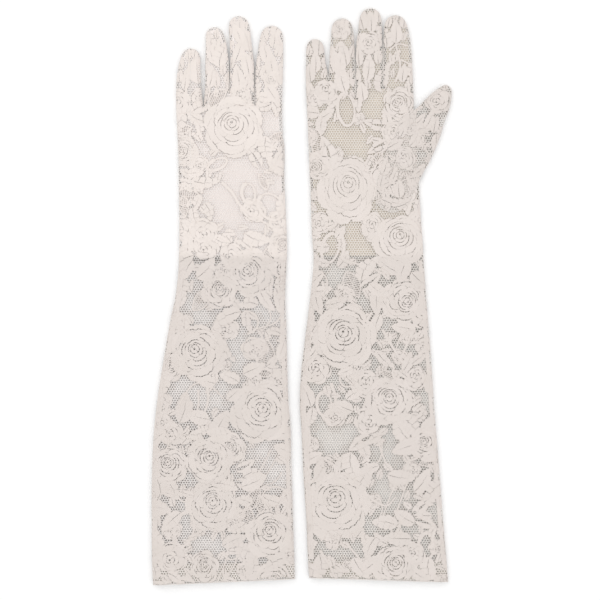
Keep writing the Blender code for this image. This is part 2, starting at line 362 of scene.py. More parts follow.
def solidify(piece, thickness):
    modifier = piece.modifiers.new("thickness", "SOLIDIFY")
    modifier.thickness = thickness * mm
    modifier.offset = 1
    return applied(piece)


def applied(piece):
    # the evaluated shape as a plain mesh, with no modifier left
    bpy.context.view_layer.update()
    graph = bpy.context.evaluated_depsgraph_get()
    mesh = bpy.data.meshes.new_from_object(piece.evaluated_get(graph))
    piece.modifiers.clear()
    old = piece.data
    piece.data = mesh
    name = old.name
    bpy.data.meshes.remove(old)
    mesh.name = name
    return piece


netSpec = {"spacing": 3.6, "rings": (0.5, 1.3, 2.6, 4.4), "turn": 7.0}


def netTriangles(loop, cuts, tree):
    # a triangulation of a flat outline: finer along its edge, where the lace turns over
    points = [loop]
    ahead = np.roll(loop, -1, axis=0) - np.roll(loop, 1, axis=0)
    ahead /= np.maximum(np.linalg.norm(ahead, axis=1), 1e-9)[:, None]
    inward = np.column_stack([ahead[:, 1], -ahead[:, 0]])
    for depth in netSpec["rings"]:
        ring = loop + inward * depth
        distance, _ = nearest(tree, ring)
        points.append(ring[(distance > 0.85 * depth) & insidePolygon(ring, loop)])
    low, high = loop.min(0), loop.max(0)
    step = netSpec["spacing"]
    rows = np.arange(low[1] + step / 2, high[1], step * 0.87)
    columns = np.arange(low[0], high[0], step)
    grid = [(x + (k % 2) * step / 2, y) for k, y in enumerate(rows) for x in columns]
    grid = np.array(grid)
    distance, _ = nearest(tree, grid)
    limit = np.where(insidePolygon(grid, loop), netSpec["rings"][-1] + 1.5, 1e9)
    points.append(grid[distance > limit])
    points = np.vstack(points)
    vertices = [Vector(p) for p in points]
    edges = []
    for start, end in cuts:
        edges.append((len(vertices), len(vertices) + 1))
        vertices += [Vector(start), Vector(end)]
    result = delaunay_2d_cdt(vertices, edges, [list(range(len(loop)))], 1, 1e-5)
    flat = np.array([tuple(v) for v in result[0]])
    triangles = np.array([f for f in result[2]])
    a, b, c = (flat[triangles[:, k]] for k in range(3))
    area = (b[:, 0] - a[:, 0]) * (c[:, 1] - a[:, 1]) - (b[:, 1] - a[:, 1]) * (c[:, 0] - a[:, 0])
    triangles[area < 0] = triangles[area < 0][:, ::-1]
    return flat, triangles


def turned(points, degrees):
    angle = math.radians(degrees)
    turn = np.array([[math.cos(angle), -math.sin(angle)], [math.sin(angle), math.cos(angle)]])
    return points @ turn.T


def netTube(name, flat, triangles, upperHeights, lowerHeights, material):
    # an upper and a lower sheet that meet along the side seams
    used, index = np.unique(triangles, return_inverse=True)
    faces = index.reshape(-1, 3)
    plane = flat[used]
    upper = np.column_stack([plane, upperHeights[used]])
    lower = np.column_stack([plane, lowerHeights[used]])
    vertices = np.vstack([upper, lower])
    allFaces = [tuple(f) for f in faces] + [tuple(f[::-1] + len(plane)) for f in faces]
    pattern = np.vstack([plane, turned(plane, netSpec["turn"])])
    vertices, allFaces, pattern = weldMesh(vertices, allFaces, pattern)
    piece = makeObject(name, vertices, allFaces, [material])
    setPattern(piece, pattern)
    return piece, plane, faces


def quadArea(quads):
    one, two = quads[:, 2] - quads[:, 0], quads[:, 3] - quads[:, 1]
    return 0.5 * (one[:, 0] * two[:, 1] - one[:, 1] * two[:, 0])


class Motifs:
    # flat patches of dense knit: points, their heights above the net and tones, and faces
    def __init__(self, seed):
        self.points, self.levels, self.tones, self.faces = [], [], [], []
        self.count, self.order = 0, 0
        self.random = np.random.default_rng(seed)
        self.discs = []

    def nextLevel(self):
        # no two patches that overlap lie at the same height
        self.order += 1
        return 0.14 + 0.32 * (self.order * 0.618034 % 1)

    def grid(self, rows, level, tone=1.0):
        # rows of points, all of one length; a face that folds over itself is left out
        rows = np.asarray(rows)
        deep, wide = rows.shape[:2]
        points = rows.reshape(-1, 2)
        first = (np.arange(deep - 1)[:, None] * wide + np.arange(wide - 1)).ravel()
        faces = np.column_stack([first, first + 1, first + wide + 1, first + wide])
        area = quadArea(points[faces])
        if area.sum() < 0:
            faces, area = faces[:, ::-1], -area
        self.points.append(points)
        self.levels += [level] * len(points)
        self.tones += [tone] * len(points)
        self.faces.append(faces[area > 0.02] + self.count)
        self.count += len(points)


roseSpec = {
    # each ring: its radius as a share, petals, ruffle, and how much of the line inside it is open
    "rings": ((0.15, 2, 0.05, 0.9), (0.25, 3, 0.06, 0.8), (0.37, 3, 0.08, 0.7), (0.50, 4, 0.10, 0.6),
              (0.66, 5, 0.11, 0.5), (0.84, 5, 0.10, 0.3), (1.0, 6, 0.16, 0.35)),
    "core": 0.06,
    "line": 0.85,             # width of the open line round a petal
    "overCard": 0.65,         # and its share where the stiff card keeps the lace taut
    "cell": 2.3,              # size of a face
    "offCentre": 0.24,
}


def addRose(motifs, x, y, radius, turn=0, stretch=1.0, tone=1.0):
    # rings of petals about an eye off the centre, with open lines that come and go between them
    level = motifs.nextLevel()
    random = motifs.random
    line = roseSpec["line"] * min(1, radius / 18 + 0.3) * (roseSpec["overCard"] if y > 36 else 1)
    lean = math.radians(turn + 90)
    rings = roseSpec["rings"] if radius > 14 else roseSpec["rings"][1::2] + roseSpec["rings"][-1:]
    phases = random.uniform(0, 2 * math.pi, (len(rings), 3))

    def place(distance, angle, share):
        shift = roseSpec["offCentre"] * radius * (1 - share)
        px = distance * np.cos(angle) * stretch + shift * math.cos(lean)
        py = distance * np.sin(angle) + shift * math.sin(lean)
        return turned(np.stack([px, py], -1), turn) + (x, y)

    def outer(ring, angle):
        share, petals, ruffle, _ = rings[ring]
        lobes = np.abs(np.sin(petals * (angle - phases[ring][0]) / 2)) ** 0.55
        frill = 0.02 * np.sin(petals * 5 * angle + phases[ring][1]) * (share > 0.6)
        sway = 0.05 * np.sin(angle + phases[ring][2])
        return radius * share * (1 + ruffle * (lobes - 0.8) + frill + sway)

    for ring, (share, petals, ruffle, openness) in enumerate(rings):
        inShare = rings[ring - 1][0] if ring else roseSpec["core"]
        deep = max(1, int(round(radius * (share - inShare) / roseSpec["cell"])))
        wide = max(5, int(2 * math.pi * radius * share / roseSpec["cell"] / petals))
        for petal in range(petals):
            start = phases[ring][0] + 2 * math.pi * petal / petals
            span = 2 * math.pi / petals
            rows = []
            for step in np.linspace(0, 1, deep + 1):
                cut = 0.6 * line * max(0, step - 0.35) / max(radius * share, 1)
                angle = np.linspace(start + cut, start + span - cut, wide + 1) + 0.2 * (1 - step)
                wave = np.sin((2 + ring % 3) * angle + phases[ring][2])
                gate = np.clip((wave - math.cos(math.pi * openness)) * 3, 0, 1)
                inner = np.full(wide + 1, radius * share * 0.3)
                if ring:
                    inner = outer(ring - 1, angle) + line * gate
                near = place(inner, angle, inShare)
                far = place(outer(ring, angle), angle, share)
                rows.append(near * (1 - step) + far * step)
            motifs.grid(rows, level, tone * random.uniform(0.975, 1.015))
    motifs.discs.append((x, y, radius * 0.95))


def leafAxis(x, y, length, turn, bend, u):
    angle = np.radians(turn) + math.radians(bend) * (u - 0.5)
    steps = np.diff(np.concatenate([[0], u]))
    px = x + np.cumsum(steps * length * np.cos(angle))
    py = y + np.cumsum(steps * length * np.sin(angle))
    return np.column_stack([px, py]), np.column_stack([-np.sin(angle), np.cos(angle)])


def addLeaf(motifs, x, y, length, width, turn, bend=20, lobes=4, tone=1.0, gape=0.4):
    # two halves beside an open midrib that closes towards the tip, with short open side veins
    level = motifs.nextLevel()
    tone = tone * motifs.random.uniform(0.975, 1.015)
    heights = (0, 0.5, 1.0) if width < 12 else (0, 0.35, 0.7, 1.0)
    for side in (-1, 1):
        for lobe in range(lobes):
            low, high = lobe / lobes, (lobe + 1) / lobes
            rows = []
            for v in heights:
                trim = (0.35 if lobe % 2 else 0.1) / length * max(0, v - 0.3) * 1.6
                u = np.linspace(low + trim, high - trim, 4) + 0.10 * v * (1 - high)
                u = np.clip(u, 0, 1)
                axis, normal = leafAxis(x, y, length, turn, bend, u)
                half = width / 2 * np.sin(math.pi * np.clip(u, 0.001, 0.999) ** 0.8) ** 0.75
                notch = 1 - 0.12 * np.abs(np.linspace(-1, 1, 4)) ** 3 * v
                slit = gape * np.clip(0.8 - u, 0, 1) * np.clip(u * 6, 0.3, 1)
                rows.append(axis + normal * (side * (slit + (half * notch - slit).clip(0.02) * v))[:, None])
            motifs.grid(rows if side < 0 else rows[::-1], level, tone)
    centre, _ = leafAxis(x, y, length, turn, bend, np.array([0.2, 0.5, 0.8]))
    motifs.discs += [(cx, cy, width * 0.42) for cx, cy in centre]


def addRibbon(motifs, points, width, endWidth=None, tone=1.0):
    level = motifs.nextLevel()
    path = smoothPath(points, 2.2)
    ahead = np.gradient(path, axis=0)
    ahead /= np.linalg.norm(ahead, axis=1)[:, None]
    normal = np.column_stack([-ahead[:, 1], ahead[:, 0]])
    half = np.linspace(width, width if endWidth is None else endWidth, len(path))[:, None] / 2
    motifs.grid([path + normal * half, path - normal * half], level, tone)


def arcPoints(x, y, radius, start, end, shrink=1.0):
    angles = np.radians(np.linspace(start, end, 9))
    radii = radius * np.linspace(1, shrink, 9)
    return [(x + r * math.cos(a), y + r * math.sin(a)) for r, a in zip(radii, angles)]


def addOpenLeaf(motifs, x, y, length, width, turn, bend=20, tone=1.0):
    # only the rim, the midrib and a half-dense ground
    u = np.linspace(0, 1, 9)
    axis, normal = leafAxis(x, y, length, turn, bend, u)
    half = (width / 2 * np.sin(math.pi * u ** 0.85))[:, None]
    for side in (-1, 1):
        addRibbon(motifs, axis + side * normal * half, 1.3, 1.0, tone=tone)
    addRibbon(motifs, axis, 0.7, 0.5, tone=tone)
    # the half-dense ground is drawn as separate thread rows
    for k in range(1, int(length / 1.9)):
        at = np.interp(np.array([k - 0.7, k, k + 0.7]) * 1.9 / length, u, np.arange(9))
        rib = [tuple(v) for v in (
            [np.interp(at[0], np.arange(9), (axis - 0.92 * normal * half)[:, c]) for c in (0, 1)],
            [np.interp(at[1], np.arange(9), axis[:, c]) for c in (0, 1)],
            [np.interp(at[2], np.arange(9), (axis + 0.92 * normal * half)[:, c]) for c in (0, 1)])]
        addRibbon(motifs, rib, 0.75, tone=tone)
    motifs.discs += [(cx, cy, width * 0.4) for cx, cy in axis[2:8:2]]


def addRing(motifs, x, y, width, height, turn, tone=1.0):
    # a closed loop of stem round open net
    angles = np.radians(np.linspace(90, 450, 19))
    loop = np.column_stack([width / 2 * np.cos(angles), height / 2 * np.sin(angles)])
    addRibbon(motifs, [tuple(p) for p in turned(loop, turn) + (x, y)], 3.4, 1.3, tone=tone)


def addSlitLeaf(motifs, x, y, length, width, turn, bend=20, lobes=3, tone=1.0):
    addLeaf(motifs, x, y, length, width, turn, bend, lobes, tone=tone, gape=2.6)


def addScroll(motifs, x, y, radius, turn, tone=1.0):
    addRibbon(motifs, arcPoints(x, y, radius, turn, turn + 290, 0.72), 1.7, 1.1, tone=tone)
    motifs.discs.append((x, y, radius * 0.5))


def drawMotifs(motifs, layout):
    makers = {"rose": addRose, "leaf": addLeaf, "slit": addSlitLeaf, "open": addOpenLeaf, "ring": addRing,
              "scroll": addScroll}
    for kind, *values in layout:
        if kind == "stem":
            addRibbon(motifs, values[0], *values[1:])
        else:
            makers[kind](motifs, *values)


fillSpec = (
    # spacing, shortest and longest, from the large leaves that nearly touch to the small bits between them
    (15.0, 21, 29),
    (10.0, 14, 19),
    (6.5, 9, 12),
)


def fillGaps(motifs, glove, windows, scale=1.0):
    # leaves, petals and tendrils between the large motifs, but not in the open net
    random = motifs.random
    low, high = glove.outline.min(0), glove.outline.max(0)
    for spacing, shortest, longest in fillSpec:
        step = spacing * scale
        places = [(x, y) for y in np.arange(low[1], high[1], step) for x in np.arange(low[0], high[0], step)]
        places = np.array(places) + random.uniform(-0.4, 0.4, (len(places), 2)) * step
        places = places[insidePolygon(places, glove.outline)]
        for x, y in places:
            size = random.uniform(shortest, longest)
            turn = random.uniform(0, 360)
            kind = random.integers(0, 12)
            size *= scale
            reach = size * 0.22
            taken = any((x - cx) ** 2 + (y - cy) ** 2 < (r + reach) ** 2 for cx, cy, r in windows)
            gap = 0.3 * reach
            if taken or any((x - cx) ** 2 + (y - cy) ** 2 < (r + gap) ** 2 for cx, cy, r in motifs.discs):
                continue
            back = math.radians(turn)
            sx, sy = x - size / 2 * math.cos(back), y - size / 2 * math.sin(back)
            onFinger = y > 182
            if onFinger:
                turn = random.uniform(70, 110)
                sx, sy = x, y - size / 2
            if kind < 7 or size < 11.5 or (onFinger and kind > 7):
                addLeaf(motifs, sx, sy, size, size * random.uniform(0.5, 0.68), turn,
                        random.uniform(-50, 50),
                        int(3 + size // 9))
            elif kind < 8:
                addOpenLeaf(motifs, sx, sy, size * 1.1, size * 0.5, turn, 30)
            elif kind < 11:
                addRose(motifs, x, y, size * 0.52, turn, 0.85)
            else:
                addRibbon(motifs, arcPoints(x, y, size * 0.5, turn, turn + 220, 0.8), 2.0, 1.1)
                addLeaf(motifs, sx, sy, size, size * 0.4, turn, 40, 3)


def motifSolids(glove, upperMotifs, lowerMotifs, material):
    # clips the motifs to the glove, drapes them on its two layers and splits them by body
    parts = {}
    for motifs, isUpper in ((upperMotifs, True), (lowerMotifs, False)):
        points = np.vstack(motifs.points)
        faces = np.vstack(motifs.faces)
        # the tones are the knit's random unevenness times the painted light over the card
        tones = np.array(motifs.tones) * glove.tone(points)
        inside = insidePolygon(points, glove.outline)
        distance, closest = nearest(glove.edgeTree, points)
        keep = (inside[faces].sum(1) >= 2) & ~(~inside & (distance > 4.0))[faces].any(1)
        points = np.where(inside[:, None], points, closest)
        faces = faces[keep]
        sign = 1 if isUpper else -1
        place = np.column_stack([points, glove.heights(points, isUpper) + sign * np.array(motifs.levels)])
        faces = faces[(quadArea(points[faces]) > 0.01) & ~glove.bridges(points, faces)]
        region = glove.region(points[faces].mean(1))
        if not isUpper:
            faces = faces[:, ::-1]
        for r in np.unique(region):
            parts.setdefault(r, []).append((place, faces[region == r], tones))
    pieces = {}
    for r, layers in parts.items():
        vertices, quads, tones = [], [], []
        count = 0
        for place, faces, tone in layers:
            used, index = np.unique(faces, return_inverse=True)
            vertices.append(place[used])
            tones.append(tone[used])
            quads.append(index.reshape(-1, 4) + count)
            count += len(used)
        vertices = np.vstack(vertices)
        name = f"{glove.side}_{glove.partName(r)}_motifs"
        piece = makeObject(name, vertices, np.vstack(quads), [material])
        attribute = piece.data.attributes.new("tone", "FLOAT", "POINT")
        attribute.data.foreach_set("value", np.concatenate(tones).astype(np.float32))
        setPattern(piece, vertices[:, :2])
        solidify(piece, 0.16)
        piece.data.set_sharp_from_angle(angle=math.radians(50))
        pieces[r] = piece
    return pieces


def attach(piece, glove, region):
    # a piece of the sleeve goes with the sleeve's body; a piece of the hand or of a finger has its transform
    # baked into its mesh
    side = glove.side
    if region == -1:
        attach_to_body(piece, f"{side}_sleeve")
    elif region == 0:
        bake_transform(piece)
    else:
        f"{side}_{glove.partName(region)}"
        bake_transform(piece)


def hexNet(tree, uv, pitch, thread):
    # distance to the nearest side of a six-sided cell, as 1 on a thread and 0 in a hole
    cell = (pitch, pitch * math.sqrt(3), 1.0)
    half = tuple(c / 2 for c in cell)
    distances = []
    for shift in ((0, 0, 0), half):
        moved = addNode(tree, "ShaderNodeVectorMath", {"operation": "ADD", 1: shift}, {0: uv})
        wrapped = addNode(tree, "ShaderNodeVectorMath", {"operation": "WRAP", 1: cell, 2: (0, 0, 0)},
                          {0: moved.outputs[0]})
        centred = addNode(tree, "ShaderNodeVectorMath", {"operation": "SUBTRACT", 1: half},
                          {0: wrapped.outputs[0]})
        flat = addNode(tree, "ShaderNodeVectorMath", {"operation": "MULTIPLY", 1: (1, 1, 0)},
                       {0: centred.outputs[0]})
        length = addNode(tree, "ShaderNodeVectorMath", {"operation": "LENGTH"}, {0: flat.outputs[0]})
        size = addNode(tree, "ShaderNodeVectorMath", {"operation": "ABSOLUTE"}, {0: flat.outputs[0]})
        parts = addNode(tree, "ShaderNodeSeparateXYZ", None, {0: size.outputs[0]})
        slope = (0.5, math.sqrt(3) / 2, 0)
        slant = addNode(tree, "ShaderNodeVectorMath", {"operation": "DOT_PRODUCT", 1: slope},
                        {0: size.outputs[0]})
        reach = addNode(tree, "ShaderNodeMath", {"operation": "MAXIMUM"},
                        {0: parts.outputs["X"], 1: slant.outputs["Value"]})
        distances.append((length.outputs["Value"], reach.outputs[0]))
    nearer = addNode(tree, "ShaderNodeMath", {"operation": "LESS_THAN"},
                     {0: distances[0][0], 1: distances[1][0]})
    reach = addNode(tree, "ShaderNodeMix", {"data_type": "FLOAT"},
                    {"Factor": nearer.outputs[0], "A": distances[1][1], "B": distances[0][1]})
    soft = 0.16 * pitch
    onThread = addNode(tree, "ShaderNodeMapRange",
                       {"From Min": pitch / 2 - thread / 2 - soft / 2,
                        "From Max": pitch / 2 - thread / 2 + soft / 2},
                       {"Value": reach.outputs["Result"]})
    return onThread.outputs["Result"]


def netMaterial(name, colour, pitch, thread, haze):
    # nylon raschel net: fine matt threads round open six-sided cells, which let the ground show
    # real cells are about 1 mm across, drawn coarser so that they show
    material, tree, shader = newMaterial(name, colour, 0.75, 0.25)
    uv = addNode(tree, "ShaderNodeUVMap", {"uv_map": "lace"})
    threads = hexNet(tree, uv.outputs[0], pitch, thread)
    alpha = addNode(tree, "ShaderNodeMapRange", {"To Min": haze, "To Max": 1.0}, {"Value": threads})
    tree.links.new(alpha.outputs["Result"], shader.inputs["Alpha"])
    bump = addNode(tree, "ShaderNodeBump", {"Strength": 0.35, "Distance": 0.0002}, {"Height": threads})
    tree.links.new(bump.outputs[0], shader.inputs["Normal"])
    return material


def motifMaterial(name, colour, shade):
    # dense raschel knit: soft fine ribs along the glove, a little sheen, slightly uneven in tone
    material, tree, shader = newMaterial(name, colour, 0.7, 0.3)
    uv = addNode(tree, "ShaderNodeUVMap", {"uv_map": "lace"})
    ribs = addNode(tree, "ShaderNodeTexWave", {"Scale": 0.36, "Distortion": 0.6, "Detail": 1.0,
                                               "wave_type": "BANDS", "bands_direction": "X"},
                   {"Vector": uv.outputs[0]})
    rows = addNode(tree, "ShaderNodeTexWave", {"Scale": 0.30, "Distortion": 0.4, "bands_direction": "Y"},
                   {"Vector": uv.outputs[0]})
    knit = addNode(tree, "ShaderNodeMath", {"operation": "MULTIPLY"},
                   {0: ribs.outputs["Fac"], 1: rows.outputs["Fac"]})
    cloud = addNode(tree, "ShaderNodeTexNoise", {"Scale": 0.05, "Detail": 2.0}, {"Vector": uv.outputs[0]})
    mix = addNode(tree, "ShaderNodeMix", {"data_type": "RGBA"}, {"Factor": cloud.outputs["Fac"]})
    mix.inputs[6].default_value = linear(colour)
    mix.inputs[7].default_value = linear(shade)
    # the tone attribute holds the random unevenness of the knit and, where the card lies behind, painted
    # light that brightens the lace
    tone = addNode(tree, "ShaderNodeAttribute", {"attribute_name": "tone"})
    toned = addNode(tree, "ShaderNodeVectorMath", {"operation": "SCALE"},
                    {0: mix.outputs[2], "Scale": tone.outputs["Fac"]})
    tree.links.new(toned.outputs[0], shader.inputs["Base Color"])
    bump = addNode(tree, "ShaderNodeBump", {"Strength": 0.45, "Distance": 0.00025},
                   {"Height": knit.outputs[0]})
    tree.links.new(bump.outputs[0], shader.inputs["Normal"])
    return material


def cardMaterial(name, colour, fibre):
    # uncoated white-lined card: matt, with faint fibres
    material, tree, shader = newMaterial(name, colour, 0.92)
    place = addNode(tree, "ShaderNodeTexCoord")
    grain = addNode(tree, "ShaderNodeTexNoise", {"Scale": 900.0, "Detail": 3.0},
                    {"Vector": place.outputs["Object"]})
    mottle = addNode(tree, "ShaderNodeTexNoise", {"Scale": 40.0, "Detail": 2.0},
                     {"Vector": place.outputs["Object"]})
    both = addNode(tree, "ShaderNodeMath", {"operation": "MULTIPLY"},
                   {0: grain.outputs["Fac"], 1: mottle.outputs["Fac"]})
    ramp = addNode(tree, "ShaderNodeMapRange", {"From Min": 0.15, "From Max": 0.40},
                   {"Value": both.outputs[0]})
    mix = addNode(tree, "ShaderNodeMix", {"data_type": "RGBA"}, {"Factor": ramp.outputs["Result"]})
    mix.inputs[6].default_value = linear(fibre)
    mix.inputs[7].default_value = linear(colour)
    tree.links.new(mix.outputs[2], shader.inputs["Base Color"])
    bump = addNode(tree, "ShaderNodeBump", {"Strength": 0.2, "Distance": 0.0001},
                   {"Height": grain.outputs["Fac"]})
    tree.links.new(bump.outputs[0], shader.inputs["Normal"])
    return material


def threadMaterial(name, colour):
    # soft textured nylon thread of the overlock: matt, with a fine twist
    material, tree, shader = newMaterial(name, colour, 0.8, 0.4)
    place = addNode(tree, "ShaderNodeTexCoord")
    twist = addNode(tree, "ShaderNodeTexNoise", {"Scale": 2500.0, "Detail": 2.0},
                    {"Vector": place.outputs["Object"]})
    bump = addNode(tree, "ShaderNodeBump", {"Strength": 0.4, "Distance": 0.0001},
                   {"Height": twist.outputs["Fac"]})
    tree.links.new(bump.outputs[0], shader.inputs["Normal"])
    return material


laceSpec = {"pitch": 2.3, "thread": 0.55, "haze": 0.10}
netLace = {
    side: netMaterial(f"{side} raschel net", colour, laceSpec["pitch"], laceSpec["thread"], laceSpec["haze"])
    for side, colour in (("left", "#F3EDE9"), ("right", "#ECE6E0"))
}
# the lace is gathered closer round the left glove's fingers
fingerNet = {
    "left": netMaterial("left finger net", "#F3EDE9", laceSpec["pitch"], 0.55, 0.35),
    "right": netLace["right"],
}
denseLace = motifMaterial("dense raschel knit", "#E3DAD5", "#DBD2CB")
seamThread = threadMaterial("overlock thread", "#EAE4DF")
hemNet = netMaterial("doubled hem net", "#E2D9CD", laceSpec["pitch"], 0.9, 0.30)
cardStock = {
    "left": cardMaterial("pinkish white card", "#FBF4F1", "#F1E8E4"),
    "right": cardMaterial("beige card", "#E2D8CA", "#D2C6B6"),
}


# rose: x, y, radius, turn, stretch
# leaf, slit leaf and open leaf: foot x, y, length, width, direction, bend
# ring: x, y, width, height, turn. scroll: x, y, radius, turn.
# stem: points, width, end width. windows: x, y, radius of the open net between them.

leftLayout = [
    ("rose", -61, 150, 27, 10), ("rose", -26, 194, 9, 40), ("rose", -46, 20, 22, 200),
    ("rose", -92, -51, 25, 25),
    ("rose", -37, -106, 27, -10), ("rose", -83, -148, 21, 0), ("rose", -118, -152, 17, 20),
    ("rose", -80, -189, 24, 0), ("rose", -28, -214, 22, 10), ("rose", -74, 4, 16, 0),
    ("rose", -20, 66, 12, 30),
    ("rose", -26, -258, 18, 0), ("rose", -116, -235, 14, 60),
    ("leaf", -54, -14, 30, 14, 200, 30), ("leaf", -38, 6, 24, 10, -62, 20),
    ("leaf", -24, 8, 24, 10, -75, -20),
    ("open", -35, -66, 29, 17, 84, 10), ("leaf", -110, -114, 29, 17, 72, 20),
    ("leaf", -70, -38, 24, 9, -80, 50),
    ("slit", -60, -156, 20, 10, 22, 20), ("slit", -60, -166, 20, 10, -22, -20),
    ("leaf", -56, -78, 20, 12, 150, 20),
    ("slit", -37, 114, 24, 11, 118, 10), ("leaf", -30, 112, 26, 8, 55, 25),
    ("leaf", -100, 104, 26, 11, -10, 25),
    ("leaf", -98, 80, 20, 10, -80, 20), ("leaf", -88, 84, 18, 9, -60, -30),
    ("leaf", -100, 120, 14, 7, 70, 20),
    ("ring", -76, 118, 19, 9, 25), ("ring", -48, 92, 12, 18, 10), ("ring", -105.5, -209, 17, 31, -12),
    ("ring", -28, 80, 20, 26, 40),
    ("stem", [(-72, 102), (-62, 92), (-56, 82), (-44, 72), (-30, 64)], 2.6, 1.6),
    ("stem", [(-98, 62), (-90, 58), (-80, 60), (-70, 66)], 2.2, 1.4),
    ("stem", [(-112, -100), (-98, -80), (-86, -78), (-70, -92)], 1.6, 1.1),
    ("stem", [(-93, -84), (-93, -98), (-97, -112)], 1.7, 1.2),
    ("stem", [(-86, -76), (-84, -92), (-90, -112)], 2.6, 1.4),
    ("stem", [(-28, -138), (-34, -150), (-44, -166)], 1.5, 1.0),
    ("stem", [(-20, -140), (-28, -154), (-36, -168)], 1.4, 1.0),
    ("stem", [(-18, -158), (-24, -166), (-34, -170)], 1.2, 0.9),
    ("stem", [(-66, -150), (-66, -166), (-72, -178)], 2.4, 1.6),
    ("stem", [(-66, -220), (-68, -236), (-76, -256)], 1.5, 1.1),
    ("stem", [(-58, -220), (-60, -240), (-72, -256)], 1.5, 1.1),
    ("stem", [(-30, -10), (-28, -20), (-34, -30)], 1.5, 1.0),
    ("stem", [(-16, -14), (-24, -24), (-44, -30)], 1.6, 1.0),
    ("stem", [(-104, 182), (-103, 196), (-101, 212)], 2.2, 1.4), ("leaf", -106, 184, 20, 8, 80, 10),
    ("leaf", -84, 186, 22, 9, 75, 20), ("leaf", -78, 208, 20, 9, 110, -10),
    ("leaf", -76, 186, 20, 8, 100, 10),
    ("leaf", -56, 184, 24, 11, 95, 10), ("leaf", -60, 210, 22, 11, 70, 10),
    ("leaf", -54, 226, 20, 10, 110, 10),
    ("leaf", -32, 208, 22, 12, 95, 20), ("leaf", -26, 222, 16, 10, 80, 10),
]
leftWindows = [
    (-101, 2, 4), (-101, -10, 4), (-91.5, -18, 7), (-36, -12, 5.5), (-22.5, -20, 8), (-41, -26, 4),
    (-58, -43, 8),
    (-58, -54, 8), (-62.5, -68.5, 4.5), (-106, -82, 7), (-97, -84, 7), (-73, -81, 6), (-88, -96, 6),
    (-116, -89, 5),
    (-74.7, -96, 5), (-38, -140, 6), (-28, -150, 7), (-18, -160, 8), (-22, -170, 6), (-30, -162, 6),
    (-101, -166, 6),
    (-108, -189, 5), (-105, -203, 6), (-106, -214, 6), (-88, -223, 7), (-76, -224, 7), (-52, -218, 3),
    (-66, -240, 7),
    (-90, 131, 9), (-60, 116, 15), (-42, 112, 9), (-28, 156, 9), (-66, 84, 14), (-60, 70, 9), (-78, 72, 9),
    (-48, 92, 8), (-28, 90, 7), (-30, 76, 7), (-40, 64, 7), (-94, 70, 5), (-76, 118, 8), (-20, 104, 6),
    (-78, 92, 8),
]

